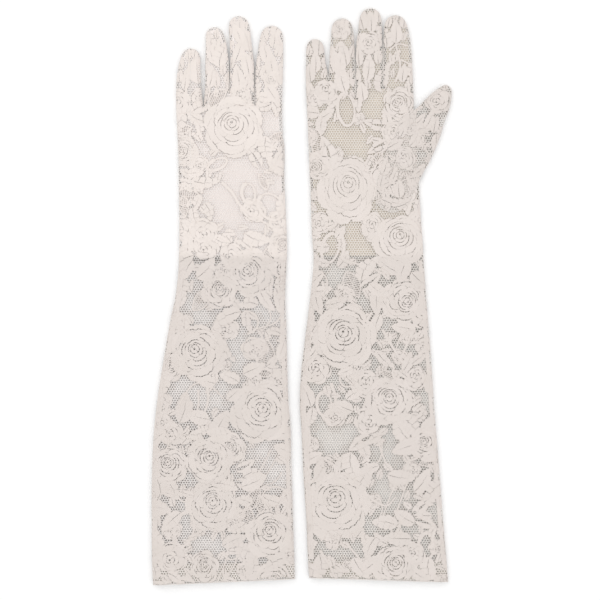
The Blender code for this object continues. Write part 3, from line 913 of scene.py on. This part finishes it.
rightLayout = [
    ("rose", 21, 184, 11, 0), ("rose", 88, 172, 15, 200), ("rose", 41.5, 95, 31, 0, 0.86),
    ("rose", 88, 50, 23, 180),
    ("rose", 91, -3, 20, -60), ("rose", 39, -38, 28, 10), ("rose", 80, -95, 22, 190),
    ("rose", 30, -187, 31, 0),
    ("rose", 84, -243, 20, 0), ("rose", 16, 66, 10, 60), ("rose", 57, -78, 13, 0),
    ("rose", 112, -132, 16, 30),
    ("rose", 110, -16, 14, 200), ("rose", 14, -66, 13, 200), ("rose", 60, -112, 13, 90),
    ("slit", 80, 152, 26, 11, 172, -15), ("slit", 79, 139, 24, 9, 205, 15),
    ("slit", 26, 115, 30, 14, 102, 15),
    ("open", 14, 122, 30, 10, 92, 5), ("ring", 39.5, 167, 15, 29, 8), ("ring", 25.5, 43, 15, 27, -14),
    ("stem", [(34, 60), (38, 44), (36, 34), (52, 28)], 3.0, 1.8), ("leaf", 96, 90, 18, 9, -100, 20),
    ("open", 40, 22, 26, 15, -65, 10), ("slit", 52, 6, 24, 11, 35, 10), ("leaf", 60, 12, 22, 12, -40, 20),
    ("leaf", 68, 8, 26, 13, -95, 10), ("leaf", 70, -16, 20, 11, -110, 10), ("leaf", 12, 4, 22, 11, -80, 15),
    ("leaf", 20, -8, 22, 12, 10, 20), ("stem", [(72, -30), (80, -44), (90, -60)], 2.6, 1.8),
    ("stem", [(98, -34), (92, -48), (86, -62)], 2.2, 1.4),
    ("stem", [(90, -32), (86, -42), (82, -56)], 1.4, 1.0),
    ("leaf", 90, -68, 20, 10, 60, 20), ("leaf", 66, -48, 24, 9, -50, 20), ("leaf", 98, -62, 18, 8, 40, -20),
    ("leaf", 8, -100, 28, 13, 110, 20), ("stem", [(26, -78), (30, -92), (26, -108)], 3.0, 2.0),
    ("ring", 19.8, -97, 13, 21, 5), ("leaf", 46, -104, 24, 14, 160, 20), ("leaf", 112, -70, 22, 10, -80, 10),
    ("slit", 62, -126, 24, 12, 208, 15), ("stem", [(68, -124), (70, -136), (76, -152)], 2.0, 1.3),
    ("stem", [(72, -128), (70, -146), (60, -156)], 1.4, 1.0), ("leaf", 76, -160, 26, 15, -12, 15),
    ("leaf", 70, -152, 22, 10, 200, 20), ("leaf", 100, -176, 26, 14, 50, 20),
    ("slit", 98, -196, 24, 11, 40, 20),
    ("slit", 100, -200, 24, 11, -18, -20), ("leaf", 86, -206, 24, 14, 165, 20),
    ("stem", [(86, -164), (78, -182), (70, -206)], 1.5, 1.0),
    ("stem", [(94, -168), (86, -190), (80, -206)], 1.4, 1.0),
    ("stem", [(98, -186), (90, -200), (80, -208)], 1.3, 1.0),
    ("stem", [(68, -178), (72, -192), (66, -204)], 1.3, 1.0),
    ("stem", [(62, -182), (76, -188), (84, -180)], 2.0, 1.2), ("leaf", 66, -216, 22, 13, -120, 20),
    ("ring", 111.6, -224, 15, 24, -8), ("stem", [(40, -222), (52, -236)], 2.2, 1.6),
    ("leaf", 46, -234, 24, 13, -60, 20), ("stem", [(16, -228), (26, -244), (30, -254)], 2.4, 1.6),
    ("stem", [(84, 192), (88, 206), (84, 226)], 2.0, 1.4),
    ("stem", [(76, 206), (86, 212), (97, 208)], 1.8, 1.2),
    ("stem", [(78, 220), (86, 226), (96, 224)], 1.6, 1.1), ("leaf", 84, 226, 22, 11, 88, 10),
    ("leaf", 58, 192, 26, 12, 82, 10), ("rose", 61, 226, 11, 20), ("leaf", 62, 236, 20, 11, 90, 10),
    ("leaf", 33, 196, 24, 11, 85, 10), ("leaf", 40, 206, 24, 10, 100, 10), ("rose", 35, 238, 9, 20),
    ("leaf", 12, 200, 20, 10, 88, 10), ("leaf", 14, 158, 18, 10, 30, 10), ("leaf", 52, 184, 20, 9, -100, 20),
]
rightWindows = [
    (39, 172, 6), (39, 162, 6), (63, 172, 10), (62, 162, 8), (30, 148, 9), (44, 146, 9), (54, 130, 8),
    (42, 134, 8),
    (66, 148, 5), (18.6, 79, 6), (26, 40, 7), (25, 50, 6), (46, 58, 8), (50, 46, 12), (74, 76, 6),
    (86, 78, 6),
    (27, 17, 8), (38, 19, 6), (56.7, -6, 5), (75.5, -28.3, 6.5), (82, -46, 4), (98, -50, 7), (109, -56, 7),
    (67.8, -60, 4.5), (14, -83, 6), (29, -78, 6), (19.8, -93, 5), (19.8, -102, 5), (37, -94, 6),
    (108, -86, 6),
    (114, -98, 5), (22, -124, 9), (34, -127, 9), (24, -135, 7), (45, -122, 6), (66, -140, 5.5),
    (79, -128, 6),
    (82, -143, 7), (70, -172, 7), (79, -180, 7), (84, -190, 6), (73, -190, 6), (62, -206, 6),
    (120.6, -195, 5),
    (22, -228, 6), (34, -231, 7), (47, -229, 5), (112, -220, 5), (111, -228, 5), (98, -208, 4), (12, 136, 4),
    (90, 224, 5), (88, 209, 5), (86, 193, 4), (87, 238, 3), (7, 212, 3), (18, 215, 3.5), (71, 226, 2.5),
    (71, 206, 2.5), (75.6, 214, 2.5), (58, 240, 3),
]

thumbLayout = [
    ("rose", 122, 176, 12, 70), ("rose", 92, 124, 11, 20, 0.8), ("leaf", 110, 150, 18, 9, 60, 20),
    ("leaf", 118, 146, 16, 8, 80, -10), ("stem", [(78, 96), (82, 112), (88, 132)], 1.4, 1.0),
    ("stem", [(78, 100), (92, 104), (108, 112)], 1.3, 0.9), ("leaf", 78, 100, 18, 7, 60, 20),
    ("leaf", 70, 88, 22, 9, -20, 40), ("leaf", 84, 80, 18, 10, 20, 30), ("leaf", 100, 108, 15, 8, 40, 20),
    ("leaf", 96, 134, 17, 9, 50, 20), ("rose", 104, 140, 7, 20), ("leaf", 100, 152, 16, 7, 45, 10),
    ("leaf", 88, 142, 14, 7, 65, 10), ("leaf", 70, 96, 16, 7, 80, -10), ("scroll", 116, 132, 6, 30),
]


def mirroredLayout(layout, axis, rise):
    # the other panel of a glove is cut from the same lace, turned over and shifted along it
    turnedOver = []
    for kind, *values in layout:
        if kind == "stem":
            points = [(2 * axis - x, y + rise) for x, y in values[0]]
            turnedOver.append((kind, points, *values[1:]))
            continue
        x, y, *rest = values
        turnIndex = 2 if kind in ("leaf", "slit", "open", "ring") else 1
        rest[turnIndex] = 180 - rest[turnIndex]
        turnedOver.append((kind, 2 * axis - x, y + rise, *rest))
    return turnedOver


def keepClear(layout, windows):
    # leaves out what would show through the open net of the other layer
    kept = []
    for kind, *values in layout:
        if kind == "rose":
            x, y, radius = values[:3]
        elif kind in ("leaf", "slit", "open"):
            x, y, length, _, turn = values[:5]
            x += length / 2 * math.cos(math.radians(turn))
            y += length / 2 * math.sin(math.radians(turn))
            radius = length / 2.4
        else:
            continue
        if all(math.hypot(x - wx, y - wy) > r + 0.75 * radius for wx, wy, r in windows):
            kept.append((kind, *values))
    return kept


seamSpec = {
    "radius": 0.32,           # of the rolled seam allowance
    "spacing": 1.7,           # real overlock stitches are about 1 mm apart, drawn coarser so that they show
    "length": 1.3,
    "width": 0.34,
    "slant": 38,
}


def newSeamTree():
    # a rolled seam with slanted stitches over it, along every edge of a mesh of lines
    tree = bpy.data.node_groups.new("overlockSeam", "GeometryNodeTree")
    tree.interface.new_socket("Geometry", in_out="INPUT", socket_type="NodeSocketGeometry")
    for name in ("Radius", "Spacing", "Stitch Length", "Stitch Width", "Slant"):
        tree.interface.new_socket(name, in_out="INPUT", socket_type="NodeSocketFloat")
    tree.interface.new_socket("Material", in_out="INPUT", socket_type="NodeSocketMaterial")
    tree.interface.new_socket("Geometry", in_out="OUTPUT", socket_type="NodeSocketGeometry")
    values = addNode(tree, "NodeGroupInput").outputs
    path = addNode(tree, "GeometryNodeMeshToCurve", None, {"Mesh": values["Geometry"]})
    profile = addNode(tree, "GeometryNodeCurvePrimitiveCircle", {"Resolution": 6},
                      {"Radius": values["Radius"]})
    roll = addNode(tree, "GeometryNodeCurveToMesh", {"Fill Caps": True},
                   {"Curve": path.outputs[0], "Profile Curve": profile.outputs[0]})
    steps = addNode(tree, "GeometryNodeResampleCurve", {"mode": "LENGTH"},
                    {"Curve": path.outputs[0], "Length": values["Spacing"]})
    bead = addNode(tree, "GeometryNodeMeshUVSphere", {"Segments": 6, "Rings": 4, "Radius": 0.5})
    size = addNode(tree, "ShaderNodeCombineXYZ", None,
                   {0: values["Stitch Length"], 1: values["Stitch Width"], 2: values["Stitch Width"]})
    stitch = addNode(tree, "GeometryNodeTransform", None,
                     {"Geometry": bead.outputs[0], "Scale": size.outputs[0]})
    tangent = addNode(tree, "GeometryNodeInputTangent")
    along = addNode(tree, "FunctionNodeAlignRotationToVector", {"axis": "X"}, {"Vector": tangent.outputs[0]})
    turn = addNode(tree, "ShaderNodeCombineXYZ", None, {2: values["Slant"]})
    slanted = addNode(tree, "FunctionNodeRotateRotation", {"rotation_space": "LOCAL"},
                      {"Rotation": along.outputs[0], "Rotate By": turn.outputs[0]})
    lift = addNode(tree, "ShaderNodeMath", {"operation": "MULTIPLY", 1: 0.55}, {0: values["Radius"]})
    raised = addNode(tree, "ShaderNodeCombineXYZ", None, {2: lift.outputs[0]})
    places = addNode(tree, "GeometryNodeSetPosition", None,
                     {"Geometry": steps.outputs[0], "Offset": raised.outputs[0]})
    row = addNode(tree, "GeometryNodeInstanceOnPoints", None,
                  {"Points": places.outputs[0], "Instance": stitch.outputs[0],
                   "Rotation": slanted.outputs[0]})
    whole = addNode(tree, "GeometryNodeJoinGeometry")
    tree.links.new(row.outputs[0], whole.inputs[0])
    tree.links.new(roll.outputs[0], whole.inputs[0])
    real = addNode(tree, "GeometryNodeRealizeInstances", None, {"Geometry": whole.outputs[0]})
    dyed = addNode(tree, "GeometryNodeSetMaterial", None,
                   {"Geometry": real.outputs[0], "Material": values["Material"]})
    addNode(tree, "NodeGroupOutput", None, {"Geometry": dyed.outputs[0]})
    return tree


seamTree = newSeamTree()


def sewSeam(name, paths, scale=1.0):
    # paths are lists of points in space; closed ones repeat their first point
    vertices, edges = [], []
    for path in paths:
        edges += [(len(vertices) + k, len(vertices) + k + 1) for k in range(len(path) - 1)]
        vertices += [tuple(np.asarray(p) * mm) for p in path]
    mesh = bpy.data.meshes.new(name)
    mesh.from_pydata(vertices, edges, [])
    piece = bpy.data.objects.new(name, mesh)
    bpy.context.scene.collection.objects.link(piece)
    modifier = piece.modifiers.new("seam", "NODES")
    modifier.node_group = seamTree
    wanted = {
        "Radius": seamSpec["radius"] * mm * scale,
        "Spacing": seamSpec["spacing"] * mm,
        "Stitch Length": seamSpec["length"] * mm * scale,
        "Stitch Width": seamSpec["width"] * mm,
        "Slant": math.radians(seamSpec["slant"]),
        "Material": seamThread,
    }
    for item in seamTree.interface.items_tree:
        if item.in_out == "INPUT" and item.name in wanted:
            modifier[item.identifier] = wanted[item.name]
    applied(piece)
    piece.data.shade_smooth()
    return piece


cardSpec = {"inset": 2.3, "bottom": 36.0, "thickness": 0.5}
hemSpec = {"depth": 18.0, "gap": 0.3}


def closedPolygonArea(loop):
    x, y = loop[:, 0], loop[:, 1]
    return 0.5 * float(np.dot(x, np.roll(y, -1)) - np.dot(y, np.roll(x, -1)))


def insetLoop(loop, tree, inset):
    ahead = np.roll(loop, -1, axis=0) - np.roll(loop, 1, axis=0)
    ahead /= np.maximum(np.linalg.norm(ahead, axis=1), 1e-9)[:, None]
    ring = loop + np.column_stack([ahead[:, 1], -ahead[:, 0]]) * inset
    distance, _ = nearest(tree, ring)
    return ring[(distance > 0.93 * inset) & insidePolygon(ring, loop)]


def fingerCuts(glove):
    loop, sizes = glove.outline, glove.sizes
    across = [loop[:, 0].min() - 2] + [slit[0][1] for slit in sizes["slits"]] + [loop[:, 0].max() + 2]
    cuts = []
    for k, fold in enumerate(sizes["foldLines"]):
        height = fold + gloveSizes["fingerZone"][0]
        cuts.append(((across[k] + 0.3, height), (across[k + 1] - 0.3, height)))
    return cuts


def buildCards(glove):
    # the die-cut hand inside the glove, with four prongs past its scores
    side, sizes = glove.side, glove.sizes
    ring = insetLoop(glove.outline, glove.edgeTree, cardSpec["inset"])
    ring = ring[ring[:, 1] > cardSpec["bottom"] + 0.5]
    bottom = cardSpec["bottom"]
    loop = np.vstack([[(ring[0, 0], bottom)], ring, [(ring[-1, 0], bottom)]])
    tree = pointTree(loop)
    flat, triangles = netTriangles(loop, fingerCuts(glove), tree)
    region = glove.region(flat[triangles].mean(1))
    cards = {}
    for r in range(0, 5):
        chosen = triangles[(region == r) | ((region == -1) & (r == 0))]
        used, index = np.unique(chosen, return_inverse=True)
        plane = flat[used]
        sway = 0.12 * np.sin(plane[:, 0] / 26 + plane[:, 1] / 41)
        place = np.column_stack([plane, sizes["cardLevel"] + sway])
        card = makeObject(f"{side}_{glove.partName(r)}_card_stock", place, index.reshape(-1, 3),
                          [cardStock[side]], False)
        solidify(card, cardSpec["thickness"])
        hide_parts(f"{side}_card_hand" if r == 0 else f"{side}_{glove.partName(r)}_card")
        attach(card, glove, r)
        cards[r] = card
    return cards


def edgeRuns(glove):
    # the outline cut into runs by body, each a list of points in space
    loop = glove.outline
    region = glove.region(loop)
    runs = {}
    start = 0
    for k in range(1, len(loop) + 1):
        if k == len(loop) or region[k] != region[start]:
            run = loop[start:min(k + 1, len(loop))]
            height = np.full(len(run), gloveSizes["edgeHeight"])
            runs.setdefault(int(region[start]), []).append(np.column_stack([run, height]))
            start = k
    return runs


def drapedLine(glove, points, upper, lift, spacing=2.0):
    path = smoothPath(points, spacing)
    return np.column_stack([path, glove.heights(path, upper) + lift])


def splitLine(glove, line, runs):
    region = glove.region(line[:, :2])
    for r in np.unique(region):
        chosen = line[region == r]
        if len(chosen) > 1:
            runs.setdefault(int(r), []).append(chosen)


def buildSeams(glove, innerLines):
    side = glove.side
    runs = edgeRuns(glove)
    for points, upper in innerLines:
        splitLine(glove, drapedLine(glove, points, upper, 0.2 if upper else -0.2), runs)
    seams = {}
    for r, paths in runs.items():
        seam = sewSeam(f"{side}_{glove.partName(r)}_seams", paths)
        if r == -1:
            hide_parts(f"{side}_sleeve_inner_seam", f"{side}_sleeve_outer_seam")
        elif r == 0:
            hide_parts(f"{side}_hand_inner_seam", f"{side}_hand_outer_seam")
        else:
            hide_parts(f"{side}_{glove.partName(r)}_fourchette")
        attach(seam, glove, r)
        seams[r] = seam
    return seams


def buildHem(glove):
    # the mouth edge is turned in and sewn down, so the lace is doubled there
    side = glove.side
    (x0, y0), (x1, y1) = glove.sizes["mouthCorners"]
    low = np.array([(x0, y0), (x1, y1)])
    ring = insetLoop(glove.outline, glove.edgeTree, 0.9)
    top = min(y0, y1) + hemSpec["depth"] + 2
    left, right = ring[: len(ring) // 2], ring[len(ring) // 2:]
    left, right = left[left[:, 1] < top], right[right[:, 1] < top]
    loop = np.vstack([left, right])
    tree = pointTree(loop)
    flat, triangles = netTriangles(loop, [], tree)
    upper = glove.heights(flat, True) - hemSpec["gap"]
    lower = glove.heights(flat, False) + hemSpec["gap"]
    lower = np.minimum(lower, upper - 0.1)
    band = netTube(f"{side}_turned_hem", flat, triangles, upper, lower, hemNet)
    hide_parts(f"{side}_hem_band")
    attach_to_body(band[0], f"{side}_sleeve")
    # the rolled rim, and the row of stitches that holds the hem's top edge
    rim, rows = [], []
    for isUpper in (True, False):
        sign = 1 if isUpper else -1
        line = evenly(low, 2.0)
        rim.append(np.column_stack([line, glove.heights(line, isUpper) - sign * 0.1]))
        held = evenly(np.array([left[-1], right[0]]), 2.0)
        rows.append(np.column_stack([held, glove.heights(held, isUpper) + sign * 0.1]))
    edge = sewSeam(f"{side}_mouth_rim", rim, 1.15)
    stitches = sewSeam(f"{side}_hem_stitches", rows, 0.45)
    for piece in (edge, stitches):
        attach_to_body(piece, f"{side}_sleeve")
    return band, [edge, stitches]


def buildGlove(sizes, layout, windows, seed, mirrorAxis, rise, innerLines, strips):
    glove = Glove(sizes)
    side = glove.side
    upper, lower = Motifs(seed), Motifs(seed + 1)
    for points, width in strips:
        addRibbon(upper, points, width, tone=1.0)
    drawMotifs(upper, layout)
    fillGaps(upper, glove, windows)
    drawMotifs(lower, keepClear(mirroredLayout(layout, mirrorAxis, rise), windows))
    fillGaps(lower, glove, windows)
    motifs = motifSolids(glove, upper, lower, denseLace)
    print(f"{side}: motifs, {sum(len(p.data.polygons) for p in motifs.values())} faces")

    loop = glove.outline
    wrist = gloveSizes["wristZone"][0]
    cuts = [((loop[:, 0].min() - 1, wrist), (loop[:, 0].max() + 1, wrist))] + fingerCuts(glove)
    flat, triangles = netTriangles(loop, cuts, glove.edgeTree)
    region = glove.region(flat[triangles].mean(1))
    upperHeights = glove.heights(flat, True)
    lowerHeights = glove.heights(flat, False)
    cards = buildCards(glove)
    seams = buildSeams(glove, innerLines)
    hem, hemTrim = buildHem(glove)
    for r in range(-1, 5):
        part = glove.partName(r)
        net, plane, faces = netTube(f"{side}_{part}_net", flat, triangles[region == r],
                                    upperHeights, lowerHeights, (fingerNet if r > 0 else netLace)[side])
        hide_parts(f"{side}_{part}_back", f"{side}_{part}_palm")
        attach(net, glove, r)
        attach(motifs[r], glove, r)
    return glove


def axisFrame(axis):
    (x0, y0), (x1, y1) = axis
    along = np.array([x1 - x0, y1 - y0])
    along = along / np.linalg.norm(along)
    outward = np.array([along[1], -along[0]])
    return np.array([(x0 + x1) / 2, (y0 + y1) / 2]), outward


class Thumb:
    def __init__(self, side, outline, hand=None):
        self.side = side
        loop = smoothPath(outline + [outline[0]], 1.3)[:-1]
        self.outline = loop if closedPolygonArea(loop) < 0 else loop[::-1]
        self.edgeTree = pointTree(evenly(np.vstack([self.outline, self.outline[:1]]), 0.35))
        self.hand = hand

    def region(self, points):
        return np.zeros(len(points), int)

    def bridges(self, points, faces):
        return np.zeros(len(faces), bool)

    def partName(self, region):
        return "thumb"

    def tone(self, points):
        return np.ones(len(points))

    def heights(self, points, upper):
        distance, _ = nearest(self.edgeTree, points)
        if self.side == "left":
            shoulder = bulge(distance, leftThumb["reach"])
            low, high = leftThumb["bottom"], leftThumb["top"]
            edge = (low + high) / 2
            return edge + ((high if upper else low) - edge) * shoulder
        middle, outward = axisFrame(rightThumb["axis"])
        free = smoothStep(((points - middle) @ outward + 1) / 6)
        shoulder = bulge(distance, rightThumb["reach"])
        palm = self.hand.heights(points, True)
        edge = (palm + 0.35) * (1 - free) + gloveSizes["edgeHeight"] * free
        if not upper:
            low = (palm + 0.25) * (1 - free) + gloveSizes["lowest"] * free
            return edge - (edge - low) * shoulder
        ease = smoothStep((distance - 4) / 16)
        crown = (palm + 0.9 + 0.7 * ease) * (1 - free) + rightThumb["crown"] * free
        folds = 0.25 * np.sin(points[:, 0] / 5 - points[:, 1] / 9) + 0.2 * np.sin(points[:, 1] / 6)
        return edge + (crown - edge + folds) * shoulder


def followThumb(piece):
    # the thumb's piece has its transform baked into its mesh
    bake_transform(piece)


def buildThumb(thumb, layout, windows, seed):
    side = thumb.side
    upper, lower = Motifs(seed), Motifs(seed + 1)
    drawMotifs(upper, layout)
    fillGaps(upper, thumb, windows, 0.7)
    fillGaps(lower, thumb, windows, 0.7)
    motif = motifSolids(thumb, upper, lower, denseLace)[0]
    flat, triangles = netTriangles(thumb.outline, [], thumb.edgeTree)
    net, plane, faces = netTube(f"{side}_thumb_net", flat, triangles, thumb.heights(flat, True),
                                thumb.heights(flat, False), netLace[side])
    closed = np.vstack([thumb.outline, thumb.outline[:1]])
    line = np.column_stack([closed, 0.5 * (thumb.heights(closed, True) + thumb.heights(closed, False))])
    seam = sewSeam(f"{side}_thumb_seams", [line], 0.85)
    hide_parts(f"{side}_thumb_back", f"{side}_thumb_palm")
    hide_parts(f"{side}_thumb_seam")
    for piece, slot in ((net, "lace"), (motif, "lace"), (seam, "seam_lace")):
        followThumb(piece)
    print(f"{side} thumb: {len(net.data.polygons)} net faces, {len(motif.data.polygons)} motif faces")


leftLines = [([(-99.9, 212), (-99.9, 170), (-99.9, 100), (-99.5, 36)], True)]
rightLines = [([(66.6, 34), (66.6, 60), (66.6, 84), (66.8, 104)], True)]
leftStrips = [
    ([(-131.5, -240), (-132, -165), (-130.2, -120), (-121.2, -58), (-111, -4), (-108, 30)], 4.6),
    ([(-10, -240), (-13, -150), (-16, -80), (-18, 0), (-17, 30)], 3.4),
]
rightStrips = [
    ([(8.6, -236), (7, -200), (3, -125), (1.4, -94), (7.4, -25), (13.4, 32)], 4.6),
    ([(127.2, -238), (122, -184), (116, -103), (112, -49), (108.6, -4), (106, 32)], 3.4),
]
leftHand = buildGlove(leftGlove, leftLayout, leftWindows, 11, -67, 31, leftLines, leftStrips)
rightHand = buildGlove(rightGlove, rightLayout, rightWindows, 23, 61, -37, rightLines, rightStrips)
buildThumb(Thumb("left", leftThumb["outline"]), [], [], 31)
buildThumb(Thumb("right", rightThumb["outline"], rightHand), thumbLayout,
           [(110, 165, 5), (122, 158, 5), (100, 120, 4), (106, 128, 5)], 37)


def buildStage():
    bpy.ops.mesh.primitive_plane_add(size=6, location=(0, 0, -0.0006))
    floor = bpy.context.object
    floor.name = "paperFloor"
    material = newMaterial("white paper sweep", "#FFFFFF", 0.9)[0]
    floor.data.materials.append(material)
    world = bpy.data.worlds.new("soft room")
    world.use_nodes = True
    background = world.node_tree.nodes["Background"]
    background.inputs["Color"].default_value = (1, 1, 1, 1)
    background.inputs["Strength"].default_value = 0.76
    bpy.context.scene.world = world
    panels = (("keyPanel", (-0.6, 0.8, 1.7), 11, 2.0), ("fillPanel", (0.8, -0.6, 1.6), 6.5, 2.0))
    for name, place, energy, size in panels:
        data = bpy.data.lights.new(name, "AREA")
        data.energy = energy
        data.size = size
        light = bpy.data.objects.new(name, data)
        light.location = place
        light.rotation_euler = (Vector((0, 0, 0)) - Vector(place)).to_track_quat("-Z", "Y").to_euler()
        bpy.context.scene.collection.objects.link(light)
    data = bpy.data.cameras.new("camera")
    data.lens = 100
    data.sensor_width = 36
    camera = bpy.data.objects.new("camera", data)
    camera.location = (-0.0018, -0.0036, 1.5)
    bpy.context.scene.collection.objects.link(camera)
    bpy.context.scene.camera = camera
    bpy.context.scene.view_settings.view_transform = "Standard"


buildStage()
